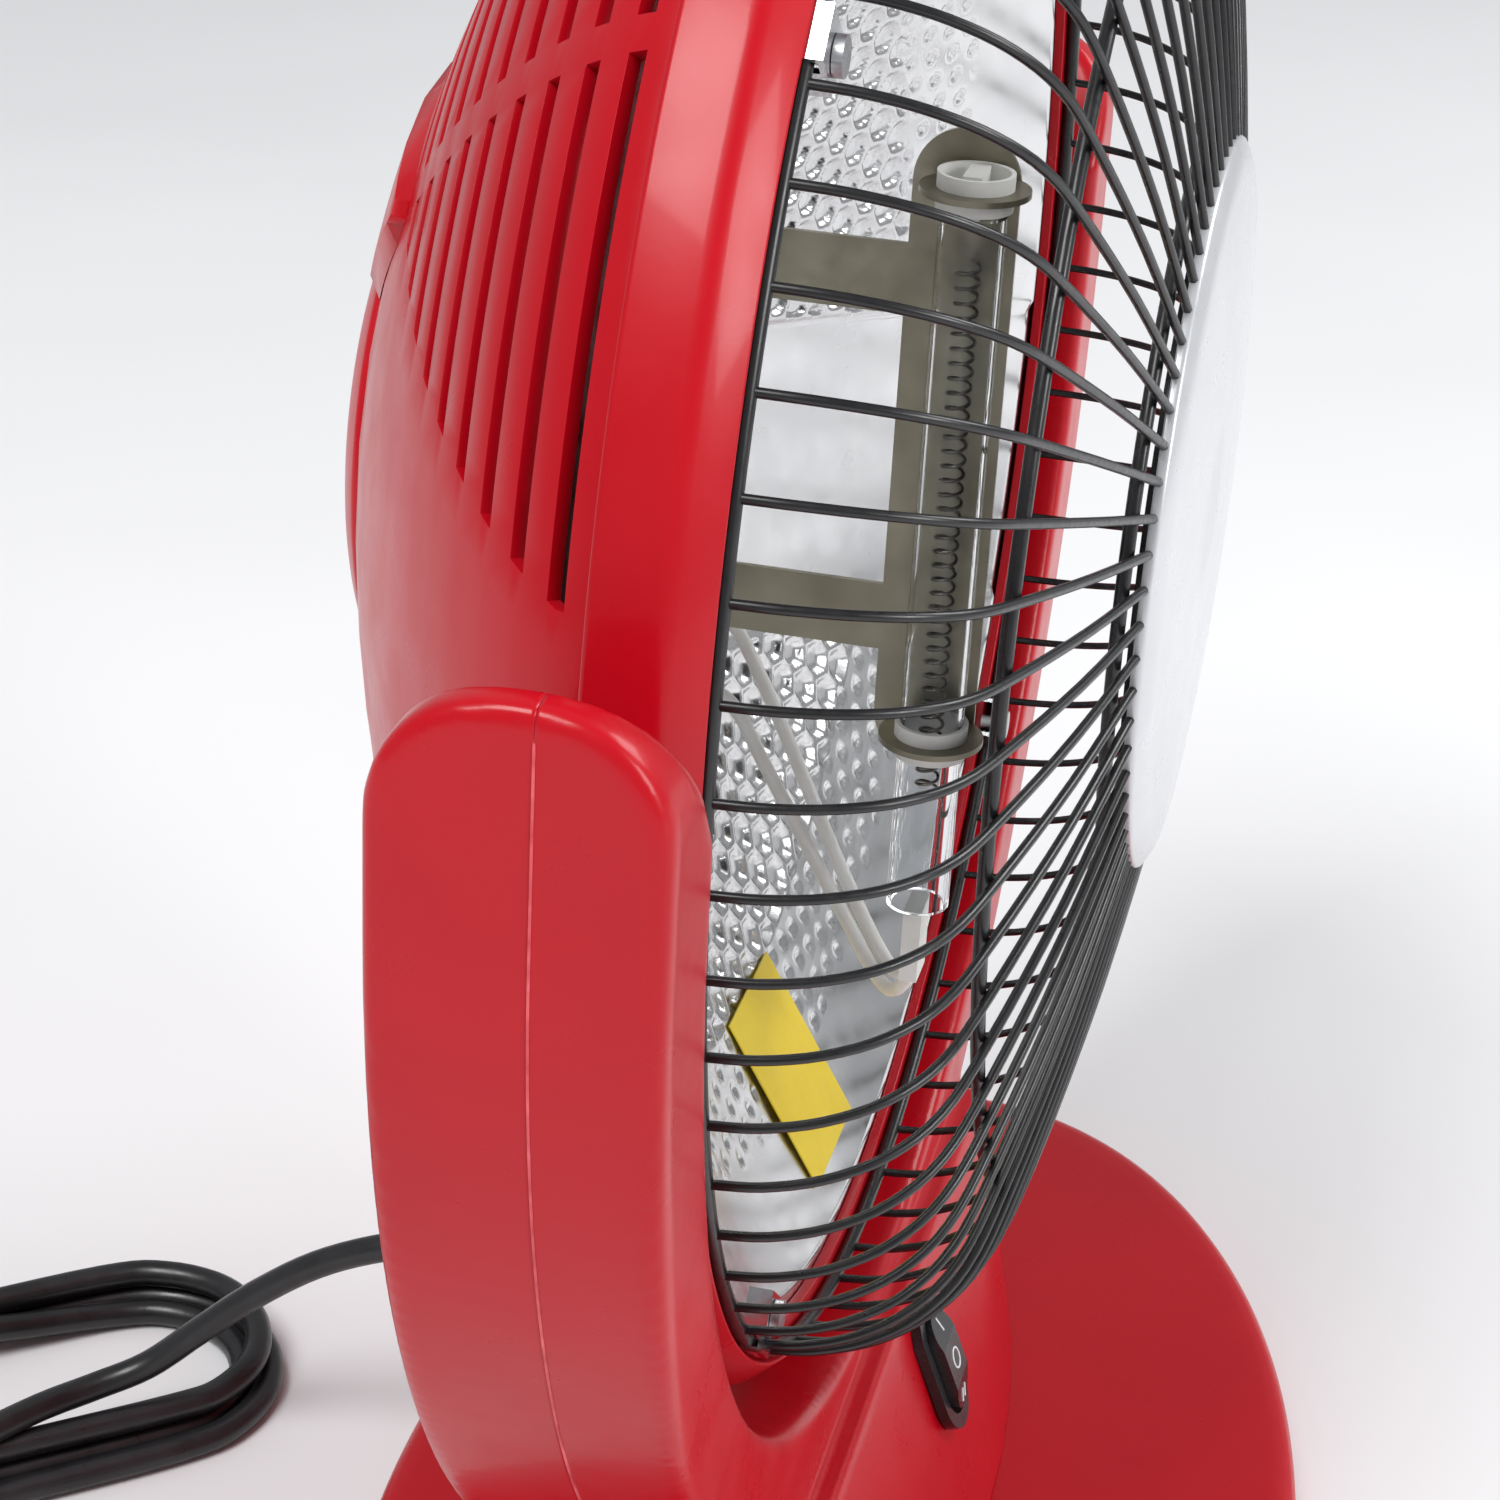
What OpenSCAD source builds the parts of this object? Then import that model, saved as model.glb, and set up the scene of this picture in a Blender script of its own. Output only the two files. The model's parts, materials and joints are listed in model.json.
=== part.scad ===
// Radiant room heater in the form of a desk fan. A round drum with a wire guard, a dish
// reflector and a quartz tube tilts in a U-shaped yoke on an oval base.
// Origin: centre of the base on the table. The head faces -Y, and +Z is up.

/* [Head] */
// Height of the head's axis above the table
head_z = 226; // [220:1:240]
// Radius of the centre line of the guard's outer ring
guard_r = 145; // [140:1:146]
// Outer radius of the drum's front band
band_r = 152; // [151:0.5:153]
// Depth of the front band behind the guard's outer ring
band_depth = 15.5; // [13:0.5:17]
// How far the domed rear cover reaches behind the band
dome_depth = 75; // [72:0.5:76]
// Depth of the reflector dish
dish_depth = 50; // [45:1:52]

/* [Guard] */
// Number of radial wires
wire_count = 70; // [48:1:72]
// Diameter of a radial wire
wire_d = 1.5; // [1.2:0.1:1.8]
// Radius of the ring where the wires turn inwards
corner_r = 113.5; // [108:0.5:118]
// How far that ring stands in front of the outer ring
corner_y = 33; // [28:1:36]
// Radius of the centre disc
disc_r = 59.5; // [50:0.5:64]

/* [Stand] */
// Outer radius of the U-shaped yoke
yoke_r = 180; // [178:1:184]
// Thickness of the yoke, seen from the front
yoke_t = 22; // [20:1:22]
// Width of the yoke, seen from the side
yoke_w = 38.5; // [36:0.5:42]
// How far the middle of the yoke lies behind the guard's outer ring
yoke_y = 12; // [10:0.5:13]
// Half length of the oval base, across the object
base_a = 155.5; // [145:0.5:165]
// Half width of the oval base, front to back
base_b = 86.6; // [80:0.5:95]
// Height of the base's rim
base_h = 14.5; // [13:0.5:17]

/* [Mains cord] */
// Diameter of the mains cord
cord_d = 5.6; // [5:0.1:6]

/* [Hidden] */
$fn = 96;
wall = 2.2;
eps = 0.01;
seam = 20;

// ---- derived sizes ----
feet_h = 2;
rear_y = band_depth + dome_depth;
yoke_in = yoke_r - yoke_t;
yoke_rear = yoke_y + 21.5;
yoke_front = yoke_rear - yoke_w;
mound_front = yoke_front - 4.5;
arm_top = 34;
arm_tip = 6;
pivot_clear = 10;
mound_a = 102;
mound_b = 28.5;
mound_top = 74;
mound_h = 64;
pin_r = 3;
bush_r = 7.5;
cover_r = 148;
dome_n = 1.5;
disc_y = 45.4;
tube_y = -5;
tube_r = 5.5;
tube_low = -80;
tube_high = 44;
bracket_x = 6.4;
bracket_mid_y = -2.5;
bracket_half = 56;
switch_tilt = 22;
switch_at = [0, face_y(50), 50];
rocker_pivot = -1;
gland_z = 57;
gland_r = 6;
hank_c = [10, 150];
hank_turn = 130.5;
hank_run = 110;
hank_r = 30;
hank_h = 2.25 * cord_d;
hank_wall = 13;

// Y of the mound's sloping front face at height z.
function face_y(z) = -mound_b + (z - base_h) * (mound_front + mound_b) / (mound_h + 1 - base_h);

// ---- helpers ----
// Turns a profile drawn in (radius, depth behind the guard ring) about the head's axis.
module about_head() {
    translate([0, 0, head_z]) rotate([-90, 0, 0]) rotate(seam) rotate_extrude() children();
}

// A round bar along X, centred on the head's axis line at depth y.
module bar_x(r, x0, x1, y = yoke_y, z = head_z) {
    translate([x0, y, z]) rotate([0, 90, 0]) cylinder(r = r, h = x1 - x0);
}

// A round bar along Y.
module bar_y(r, y0, y1, x = 0, z = head_z) {
    translate([x, y0, z]) rotate([-90, 0, 0]) cylinder(r = r, h = y1 - y0);
}

// The same thing on the left and on the right.
module both_sides() {
    children();
    mirror([1, 0, 0]) children();
}

function ellipse_pts(a, b, n = 96) = [for (i = [0:n - 1]) [a * cos(360 * i / n), b * sin(360 * i / n)]];

// Depth of the dome's outer face at radius r.
function dome_y(r, r0 = cover_r, d = dome_depth) =
    band_depth + d * pow(1 - pow(r / r0, dome_n), 1 / dome_n);

function dish_y(r, r0 = 141) = 2 + dish_depth * (1 - pow(r / r0, 2));

// Frame of a swept path: the tangent at point i.
function tangent(p, i) =
    let (a = p[max(i - 1, 0)], b = p[min(i + 1, len(p) - 1)]) (b - a) / norm(b - a);

// Sweeps a round section of diameter d along the points p as one polyhedron.
module sweep(p, d, sides = 8) {
    n = len(p);
    rings = [for (i = [0:n - 1])
        let (
            t = tangent(p, i),
            ref = abs(t[2]) > 0.9 ? [1, 0, 0] : [0, 0, 1],
            u = cross(ref, t) / norm(cross(ref, t)),
            v = cross(t, u)
        )
        for (k = [0:sides - 1]) p[i] + d / 2 * (cos(360 * k / sides) * u + sin(360 * k / sides) * v)];
    sides_f = [for (i = [0:n - 2]) for (k = [0:sides - 1])
        let (a = i * sides + k, b = i * sides + (k + 1) % sides)
        each [[a, a + sides, b], [b, a + sides, b + sides]]];
    caps = [[for (k = [0:sides - 1]) k], [for (k = [sides - 1:-1:0]) (n - 1) * sides + k]];
    polyhedron(points = rings, faces = concat(sides_f, caps));
}

// A smooth curve through hand-placed points, m steps between each pair.
function spline(p, m = 4) =
    [for (i = [0:len(p) - 2]) for (j = [0:m - 1])
        let (
            a = p[max(i - 1, 0)], b = p[i], c = p[i + 1], d = p[min(i + 2, len(p) - 1)], t = j / m
        )
        0.5 * (2 * b + (c - a) * t + (2 * a - 5 * b + 4 * c - d) * t * t
            + (3 * b - a - 3 * c + d) * t * t * t),
        p[len(p) - 1]];

// ---- stand ----
module oval(a, b, h, z = 0) {
    translate([0, 0, z]) linear_extrude(h) polygon(ellipse_pts(a, b));
}

module base_shell() {
    color("firebrick") difference() {
        union() {
            oval(base_a, base_b, base_h - feet_h - 2, feet_h);
            oval(base_a - 1, base_b - 1, base_h - feet_h - 0.8, feet_h);
            oval(base_a - 3, base_b - 3, base_h - feet_h, feet_h);
        }
        oval(base_a - 5, base_b - 5, base_h - feet_h - wall - 1, feet_h - eps);
        translate([0, 0, base_h - 4]) cylinder(r = 12, h = 10);
        for (x = [-60, 60]) translate([x, 0, base_h - 4]) cylinder(r = 2.1, h = 10);
    }
}

module base_plate() {
    color("dimgray") difference() {
        oval(base_a - 5.5, base_b - 5.5, 1.5, feet_h);
        for (x = [-105, 105]) for (y = [-38, 38]) translate([x, y, 0]) cylinder(r = 1.8, h = 10);
    }
}

module ballast_weight() {
    color("gray") difference() {
        oval(72, 62, 5, feet_h + 1.7);
        cylinder(r = 14, h = 20);
        translate([-18, -4, 0]) cube([36, 42, 20]);
        for (x = [-60, 60]) translate([x, 0, 0]) cylinder(r = 4.5, h = 20);
    }
}

module rubber_feet() {
    color("black") for (x = [-105, 105]) for (y = [-38, 38])
        translate([x, y, 0]) difference() {
            cylinder(r = 8, h = feet_h);
            translate([0, 0, -eps]) cylinder(r = 4, h = 1.2);
        }
}

module base_screws() {
    color("silver") for (x = [-60, 60]) translate([x, 0, feet_h + 1.7]) {
        cylinder(r = 4, h = 2);
        cylinder(r = 2, h = base_h + 10);
    }
}

// Outline of the yoke seen from the front, drawn about the head's axis and grown inwards by d.
module yoke_outline(d = 0) {
    difference() {
        circle(r = yoke_r - d, $fn = 180);
        circle(r = yoke_in + d, $fn = 180);
        translate([-200, 0]) square([400, 200]);
    }
    // the arms thin towards their tops
    both_sides() polygon([
        [yoke_in + d, -eps], [yoke_r - d, -eps], [yoke_r - d, arm_top - d],
        [yoke_r - arm_tip + 0.5 * d, arm_top - d], [yoke_in + d, pivot_clear - 0.3 * d],
    ]);
}

// Side view of the yoke: straight edges with a large round at the top.
module yoke_side(d = 0) {
    r = 17 - d;
    lo = yoke_front + d;
    hi = yoke_rear - d;
    top = head_z + arm_top - d;
    translate([lo, 20]) square([hi - lo, top - r - 20]);
    translate([lo + r, 20]) square([hi - lo - 2 * r, top - 20]);
    for (y = [lo + r, hi - r]) translate([y, top - r]) circle(r = r);
}

// Foot of the yoke: a mound whose front leans back from an oval foot to the yoke's front face.
module mound(d = 0) {
    foot_z = base_h + 0.05;
    difference() {
        hull() {
            oval(mound_a - d, mound_b - d, 1, foot_z);
            translate([d - mound_top, mound_front + d, mound_h - d])
                cube([2 * (mound_top - d), yoke_rear - mound_front - 2 * d, 1]);
            translate([d - mound_a + 12, 0, foot_z]) cube([2 * (mound_a - d) - 24, yoke_rear - d, 1]);
        }
        bar_y(yoke_in + d, -60, 60);
    }
}

module yoke_solid(d = 0) {
    intersection() {
        translate([0, yoke_rear + 5, head_z]) rotate([90, 0, 0]) linear_extrude(yoke_w + 10)
            yoke_outline(d);
        translate([-200, 0, 0]) rotate([90, 0, 90]) linear_extrude(400) yoke_side(d);
    }
    mound(d);
}

module yoke_shell() {
    difference() {
        yoke_solid();
        difference() {
            yoke_solid(wall);
            // screw bosses stay solid
            for (p = yoke_screw_places) bar_y(4, -60, 60, p[0], p[1]);
            both_sides() bar_x(bush_r + 2.5, yoke_in, yoke_r - 4);
            for (x = [-60, 60]) translate([x, 0, 0]) cylinder(r = 5, h = 80);
        }
        both_sides() bar_x(bush_r, yoke_in - 1, yoke_r - 6);
        for (p = yoke_screw_places) {
            bar_y(1.55, yoke_front + 5, 60, p[0], p[1]);
            bar_y(3.05, yoke_rear - 1.05, 60, p[0], p[1]);
        }
        for (x = [-60, 60]) translate([x, 0, 0]) cylinder(r = 2.05, h = base_h + 15);
        // way for the wires, and the hole for the switch
        translate([0, 0, base_h - 1]) cylinder(r = 10, h = 6);
        switch_frame() translate([0, 0, -30]) linear_extrude(60) square([13, 24], center = true);
        bar_y(gland_r - 1.5, yoke_rear - 5, yoke_rear + 1, 0, gland_z);
    }
}

yoke_screw_places = [for (s = [-1, 1]) each [[s * 172, head_z - 30], [s * 129, 112.2], [s * 45, 60]]];

// Places children on the sloping front face of the mound, with +Z out of the face.
module switch_frame() {
    translate(switch_at) rotate([90 - switch_tilt, 0, 0]) children();
}

module yoke_front_shell() {
    color("crimson") intersection() {
        yoke_shell();
        translate([-200, -100, 0]) cube([400, 100 + yoke_y, 400]);
    }
}

module yoke_rear_shell() {
    color("crimson") intersection() {
        yoke_shell();
        translate([-200, yoke_y + 0.02, 0]) cube([400, 100, 400]);
    }
}

module yoke_screws() {
    color("silver") for (p = yoke_screw_places) {
        bar_y(1.5, yoke_front + 6, yoke_rear - 1, p[0], p[1]);
        bar_y(3, yoke_rear - 1, yoke_rear, p[0], p[1]);
    }
}

module pivot_bushes() {
    color("ivory") both_sides() difference() {
        bar_x(bush_r, yoke_in, yoke_r - 6);
        bar_x(pin_r + 0.05, yoke_in - 1, yoke_r);
    }
}

// ---- switch on the front of the mound ----
module stadium(w, l) {
    square([w, l - w], center = true);
    for (s = [-1, 1]) translate([0, s * (l - w) / 2]) circle(d = w);
}

module switch_bezel() {
    color("black") switch_frame() difference() {
        union() {
            translate([0, 0, 0.3]) linear_extrude(2) stadium(15.5, 28);
            translate([0, 0, -6]) linear_extrude(7) stadium(12.9, 23.9);
        }
        translate([0, 0, -7]) linear_extrude(11) stadium(10.5, 22.4);
        translate([-10, 0, rocker_pivot]) rotate([0, 90, 0]) cylinder(r = 1.05, h = 20);
    }
}

module switch_body() {
    color("black") switch_frame() translate([0, 0, -19]) {
        linear_extrude(13) square([12.4, 22], center = true);
        for (y = [-7, 0, 7]) translate([-0.4, y - 2.4, -6]) cube([0.8, 4.8, 6.01]);
    }
}

module switch_rocker() {
    color("black") switch_frame() {
        intersection() {
            translate([-6, 0, 0]) rotate([90, 0, 90]) linear_extrude(12)
                polygon([[-10.1, -3.4], [10.1, -3.4], [10.1, 3], [4.2, 4.6], [-4.2, 4.6], [-10.1, 3]]);
            translate([0, 0, -8]) linear_extrude(20) stadium(9.6, 20.2);
        }
        translate([-6, 0, rocker_pivot]) rotate([0, 90, 0]) cylinder(r = 1, h = 12);
    }
}

// ---- terminals and wiring in the stand ----
module terminal_block() {
    color("ivory") difference() {
        translate([-14, 20, feet_h + 1.7]) cube([28, 12, 6.5]);
        for (x = [-8, 0, 8]) translate([x, 26, 6]) cylinder(r = 1.8, h = 10);
    }
}

module stand_wiring() {
    lane_r = 163.2;
    climb = [for (a = [-76:6:-10]) [lane_r * cos(a), yoke_y, head_z + lane_r * sin(a)]];
    color("black") sweep(concat([[0, 19.9, 7], [0, 12, 7.5], [0, 6, 12], [0, 5, 24],
        [8, 7, 40], [20, 10, 56]], climb, [[lane_r, yoke_y, head_z - 14]]), 4, 6);
}

// ---- cord ----
module cord_gland() {
    color("black") translate([0, yoke_rear - 5, gland_z]) rotate([-90, 0, 0]) {
        cylinder(r = gland_r - 1.6, h = 5.1);
        translate([0, 0, 5.05]) cylinder(r = gland_r + 1.5, h = 2.5);
        translate([0, 0, 7.5]) cylinder(r1 = gland_r, r2 = cord_d / 2 + 0.7, h = 24);
    }
}

lead_points = [
    [0, 60.1, 57], [0, 68, 57], [0, 80, 56.2], [0, 93, 52.5], [0, 107, 45.5], [-1, 120, 36],
    [-2, 131, 26], [-5, 141, 17.5], [-11, 150, 14.4], [-20, 157.5, 14.1],
];

module cord_lead() {
    color("black") sweep(spline(lead_points, 3), cord_d, 8);
}

module hank_outline(r) {
    circle(r = r);
    translate([hank_run, 0]) circle(r = r);
    translate([0, -r]) square([hank_run, 2 * r]);
}

module cord_hank() {
    color("black") translate([hank_c[0], hank_c[1], 0]) rotate(hank_turn) linear_extrude(hank_h)
        difference() {
            hank_outline(hank_r);
            hank_outline(hank_r - hank_wall);
        }
}

tail_points = [
    [-43, 253.5, 3], [-39, 249, 3], [-34, 245.3, 3.6], [-28, 242.6, 5], [-22, 241.2, 6.8], [-17, 241, 7.6],
];

module cord_tail() {
    color("black") sweep(spline(tail_points, 2), cord_d, 8);
}

plug_at = [-17, 241, 7.6];

module mains_plug() {
    color("black") translate(plug_at) rotate([0, 90, 0]) {
        cylinder(r1 = 4, r2 = 6, h = 14);
        translate([0, 0, 13.9]) linear_extrude(20) stadium(15, 30);
    }
}

module plug_pins() {
    color("silver") translate(plug_at) rotate([0, 90, 0]) for (s = [-1, 1])
        translate([0, s * 9.5, 33.9]) cylinder(d = 4.8, h = 19);
}

// ---- drum ----
module front_band() {
    color("firebrick") difference() {
        about_head() polygon([
            [141.5, 1.35], [146.4, 1.35], [147.4, -0.4], [band_r, 5], [band_r, band_depth],
            [149.4, band_depth], [149.4, 5.8], [146.6, 3.2], [141.5, 3.2],
        ]);
        both_sides() bar_x(pin_r + 0.05, 140, 160);
        for (a = drum_screw_angles) radial(a) cylinder(r = 1.2, h = 200);
    }
}

drum_screw_angles = [58, 122, 238, 302];

// Points +Z outwards from the head's axis at angle a, 10.5 mm behind the guard's outer ring.
module radial(a, y = 10.5) {
    translate([0, y, head_z]) rotate([0, 90 - a, 0]) children();
}

slot_count = 10;

// Depth of slot i, in even steps along the dome.
function slot_y(i) = 20.7 + 6.9 * i - 0.2 * i * i;

function dome_r(y, r0 = cover_r, d = dome_depth) =
    r0 * pow(1 - pow((y - band_depth) / d, dome_n), 1 / dome_n);

// The air slots: rings through the dome, parted by radial ribs and by a plain belt at mid height
// that widens towards the back.
module air_slots() {
    rib_angles = [40.5, 73.5, 106.5, 139.5];
    for (i = [0:slot_count - 1]) difference() {
        y = slot_y(i);
        slope = dome_r(y - 0.5) - dome_r(y + 0.5);
        w = 3 / sqrt(1 + slope * slope);
        belt = 30 + 2.7 * i;
        about_head() translate([dome_r(y) - 7, y - w / 2]) square([11, w]);
        translate([-200, 0, head_z - belt]) cube([400, 120, 2 * belt]);
        for (a = rib_angles) for (s = [0, 180]) translate([0, 0, head_z]) rotate([0, -a + s, 0])
            translate([20, 0, -2.6]) cube([200, 120, 5.2]);
    }
}

module rear_cover() {
    steps = 22;
    t = 2.4;
    outer = [for (i = [0:steps]) let (r = cover_r - (cover_r - 53) * i / steps) [r, dome_y(r) + 0.05]];
    inner = [for (i = [steps:-1:0])
        let (r = cover_r - t - (cover_r - t - 53) * i / steps)
        [r, dome_y(r, cover_r - t, dome_depth - t)]];
    color("firebrick") difference() {
        about_head() polygon(concat(
            [[149.3, 8], [149.3, band_depth + 0.05]], outer, [[53, 78.6], [44, 78.6], [44, 76.6]],
            inner, [[cover_r - t, 14], [147, 12], [147, 8]]));
        air_slots();
        both_sides() bar_x(pin_r + 0.05, 140, 160);
        for (a = drum_screw_angles) radial(a) cylinder(r = 1.2, h = 200);
    }
}

module rear_disc() {
    color("firebrick") about_head() polygon([
        [0, 86.6], [30, 86.4], [42.5, 85.4], [51, 80.9], [51, 78.65], [43.9, 78.65],
        [43.9, 74.4], [42.4, 74.4], [42.4, 83], [40, 84], [0, 85],
    ]);
}

module drum_screws() {
    color("silver") for (a = drum_screw_angles) radial(a) {
        translate([0, 0, 147.2]) cylinder(r = 1.15, h = 5);
        translate([0, 0, band_r + 0.05]) cylinder(r = 3, h = 1.2);
    }
}

module pivot_pins() {
    color("silver") both_sides() difference() {
        bar_x(pin_r, 141, 171);
        bar_x(1.8, 140, 172);
    }
}

module pivot_spacers() {
    color("ivory") both_sides() difference() {
        bar_x(9, band_r + 0.1, yoke_in - 0.6);
        bar_x(pin_r + 0.02, 150, 160);
    }
}

module pivot_nuts() {
    color("silver") both_sides() difference() {
        translate([141.2, yoke_y, head_z]) rotate([0, 90, 0]) cylinder(r = 5.6, h = 3.4, $fn = 6);
        bar_x(pin_r + 0.02, 140, 150);
    }
}

// ---- reflector and heat shield ----
module reflector_dish() {
    steps = 24;
    face = [for (i = [0:steps]) let (r = 139.5 * (1 - i / steps)) [r, dish_y(r)]];
    back = [for (i = [steps:-1:0]) let (r = 139.5 * (1 - i / steps)) [r, dish_y(r) + 0.8]];
    color("lightgray") difference() {
        about_head() polygon(concat([[145.5, 4.5], [145.5, 3.7]], face, back));
        for (z = [-30, 30]) bar_y(1.6, 30, 70, bracket_x + 7, head_z + z);
        for (p = lead_holes) bar_y(2.6, 20, 70, p[0], p[1]);
    }
}

lead_holes = [[36, head_z - 46], [30, head_z - 60]];

module heat_shield() {
    steps = 16;
    function shield_y(r) = 0.9 * dish_y(r) + 12;
    front = [for (i = [0:steps]) let (r = 140 - 110 * i / steps) [r, shield_y(r)]];
    back = [for (i = [steps:-1:0]) let (r = 140 - 110 * i / steps) [r, shield_y(r) + 0.6]];
    color("gray") difference() {
        about_head() polygon(concat([[145.2, 14.7], [145.2, 14.1]], front, back));
        both_sides() bar_x(9, 130, 160);
    }
}

module tube_bracket() {
    color("darkkhaki") {
        translate([bracket_x, bracket_mid_y, head_z]) rotate([90, 0, 90]) linear_extrude(1)
            stadium(17.6, 2 * bracket_half);
        for (s = [-1, 1]) translate([0, tube_y, head_z + s * 48 - 0.5]) difference() {
            cylinder(r = 9, h = 1);
            translate([0, 0, -1]) cylinder(r = 6.35, h = 4);
        }
        for (s = [-1, 1]) translate([bracket_x, 0, head_z + s * 30 - 6]) {
            cube([1, 47.6, 12]);
            difference() {
                translate([0, 46.6, 0]) cube([12, 1, 12]);
                translate([7, 40, 6]) rotate([-90, 0, 0]) cylinder(r = 1.6, h = 10);
            }
        }
    }
}

module bracket_screws() {
    color("silver") for (s = [-1, 1]) {
        bar_y(1.5, 45.5, 52, bracket_x + 7, head_z + s * 30);
        bar_y(3, 44.6, 46.5, bracket_x + 7, head_z + s * 30);
    }
}

// ---- heating tube ----
module up_tube(r, z0, z1) {
    translate([0, tube_y, head_z + z0]) cylinder(r = r, h = z1 - z0);
}

module quartz_tube() {
    color("lightcyan", 0.5) difference() {
        up_tube(tube_r, tube_low, tube_high);
        up_tube(tube_r - 0.9, tube_low - 1, tube_high + 1);
    }
}

module filament() {
    color("dimgray") up_tube(1.8, -60, 36);
}

module tube_seals() {
    color("white") for (z = [tube_low - 14.05, tube_high + 0.05])
        translate([-4, tube_y - 1.6, head_z + z]) cube([8, 3.2, z < 0 ? 14 : 7]);
}

module ceramic_rings() {
    color("white") for (s = [-1, 1]) difference() {
        up_tube(6.3, s * 48 - 3, s * 48 + 3);
        up_tube(tube_r + 0.05, -90, 90);
    }
}

module tube_leads() {
    color("white") for (i = [0, 1]) {
        hole = lead_holes[i];
        depth = dish_y(norm([hole[0], hole[1] - head_z]));
        sweep(spline([
            [hole[0], depth + 6, hole[1]], [hole[0], depth - 3, hole[1] - 1],
            [hole[0] - 4, depth - 12, hole[1] - 12], [18 - 4 * i, 12, head_z - 86 - 4 * i],
            [6 - 4 * i, 0, head_z - 97 - 2 * i], [2 - 4 * i, tube_y, head_z - 94.2],
        ], 4), 2.6, 6);
    }
}

module thermal_cutout() {
    color("silver") bar_y(6, 47.9, 50.4, 0, head_z + 53);
}

module blank_label() {
    slope = atan(2 * dish_depth * 118 / (141 * 141));
    color("gold") translate([0, dish_y(118) - 1.7, head_z - 118]) rotate([-slope, 0, 0])
        translate([-14, 0, -17.5]) cube([28, 0.3, 35]);
}

// ---- guard ----
module ring_of_wire(r, d, y) {
    about_head() translate([r, y]) circle(d = d, $fn = 32);
}

module guard_outer_ring() {
    color("black") ring_of_wire(guard_r, 2.6, 0);
}

module guard_corner_ring() {
    color("black") ring_of_wire(corner_r - 0.6, 2.2, -corner_y + 1.4);
}

module guard_inner_ring() {
    color("black") ring_of_wire(disc_r + 3.5, 2.2, -disc_y + 4.4);
}

// One radial wire, as (radius, distance in front of the outer ring).
wire_path = [
    [guard_r, 1], [guard_r - 1, 8], [guard_r - 4, 16], [guard_r - 9.5, 23.5],
    [guard_r - 18, 29.3], [corner_r, corner_y + 0.3], [(corner_r + disc_r) / 2, 39.2],
    [disc_r - 3, disc_y - 1.2],
];

module guard_wires() {
    color("black") for (k = [0:wire_count - 1]) {
        a = wire_phase + 360 * k / wire_count;
        sweep([for (p = wire_path) [-p[0] * cos(a), -p[1], head_z + p[0] * sin(a)]], wire_d, 6);
    }
}

wire_phase = 13.25;

module guard_disc() {
    color("whitesmoke") about_head() polygon([
        [0, -disc_y - 3.4], [40, -disc_y - 2.8], [56, -disc_y - 1.2], [disc_r, -disc_y + 0.6],
        [disc_r, -disc_y + 2.2], [disc_r - 1.4, -disc_y + 2.2], [disc_r - 1.4, -disc_y + 1.4],
        [55, -disc_y + 0.2], [40, -disc_y - 1.4], [0, -disc_y - 2],
    ]);
}

module guard_back_plate() {
    color("black") difference() {
        about_head() polygon([
            [1.7, -disc_y + 2.4], [56, -disc_y + 2.4], [56, -disc_y + 3.3], [1.7, -disc_y + 3.3],
        ]);
    }
}

module guard_centre_screw() {
    color("silver") {
        bar_y(1.6, -disc_y - 1.9, -disc_y + 5, 0);
        bar_y(3.2, -disc_y + 3.4, -disc_y + 5.4, 0);
    }
}

clip_angles = [41.5, 131.5, 221.5, 311.5];

// Stands children on the guard's outer ring at angle a from the left, +X outwards and +Y behind.
module at_ring(a) {
    translate([0, 0, head_z]) rotate([0, a + 180, 0]) translate([guard_r, 0, 0]) children();
}

module guard_clips() {
    color("silver") for (a = clip_angles) at_ring(a) difference() {
        union() {
            translate([-8, -2.6, -4]) cube([9, 0.8, 8]);
            translate([0.9, -2.6, -4]) cube([0.8, 3.5, 8]);
            translate([-8, -2.6, -4]) cube([6, 3.8, 0.8]);
            translate([-8, -2.6, 3.2]) cube([6, 3.8, 0.8]);
        }
        translate([-4.4, -5, 0]) rotate([-90, 0, 0]) cylinder(r = 1.6, h = 10);
    }
}

module clip_screws() {
    color("silver") for (a = clip_angles) at_ring(a) translate([-4.4, -4.1, 0]) rotate([-90, 0, 0]) {
        cylinder(r = 2.8, h = 1.4);
        cylinder(r = 1.4, h = 5.4);
    }
}

base_shell();
base_plate();
ballast_weight();
rubber_feet();
base_screws();
yoke_front_shell();
yoke_rear_shell();
yoke_screws();
pivot_bushes();
switch_bezel();
switch_body();
switch_rocker();
terminal_block();
stand_wiring();
cord_gland();
cord_lead();
cord_hank();
cord_tail();
mains_plug();
plug_pins();
front_band();
rear_cover();
rear_disc();
drum_screws();
pivot_pins();
pivot_spacers();
pivot_nuts();
reflector_dish();
heat_shield();
tube_bracket();
bracket_screws();
quartz_tube();
filament();
tube_seals();
ceramic_rings();
tube_leads();
thermal_cutout();
blank_label();
guard_outer_ring();
guard_corner_ring();
guard_inner_ring();
guard_wires();
guard_disc();
guard_back_plate();
guard_centre_screw();
guard_clips();
clip_screws();
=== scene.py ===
"""Radiant heater in the form of a desk fan: looks, floor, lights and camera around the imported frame."""
import json
import math

import bmesh
import bpy
from mathutils import Matrix, Vector


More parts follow.
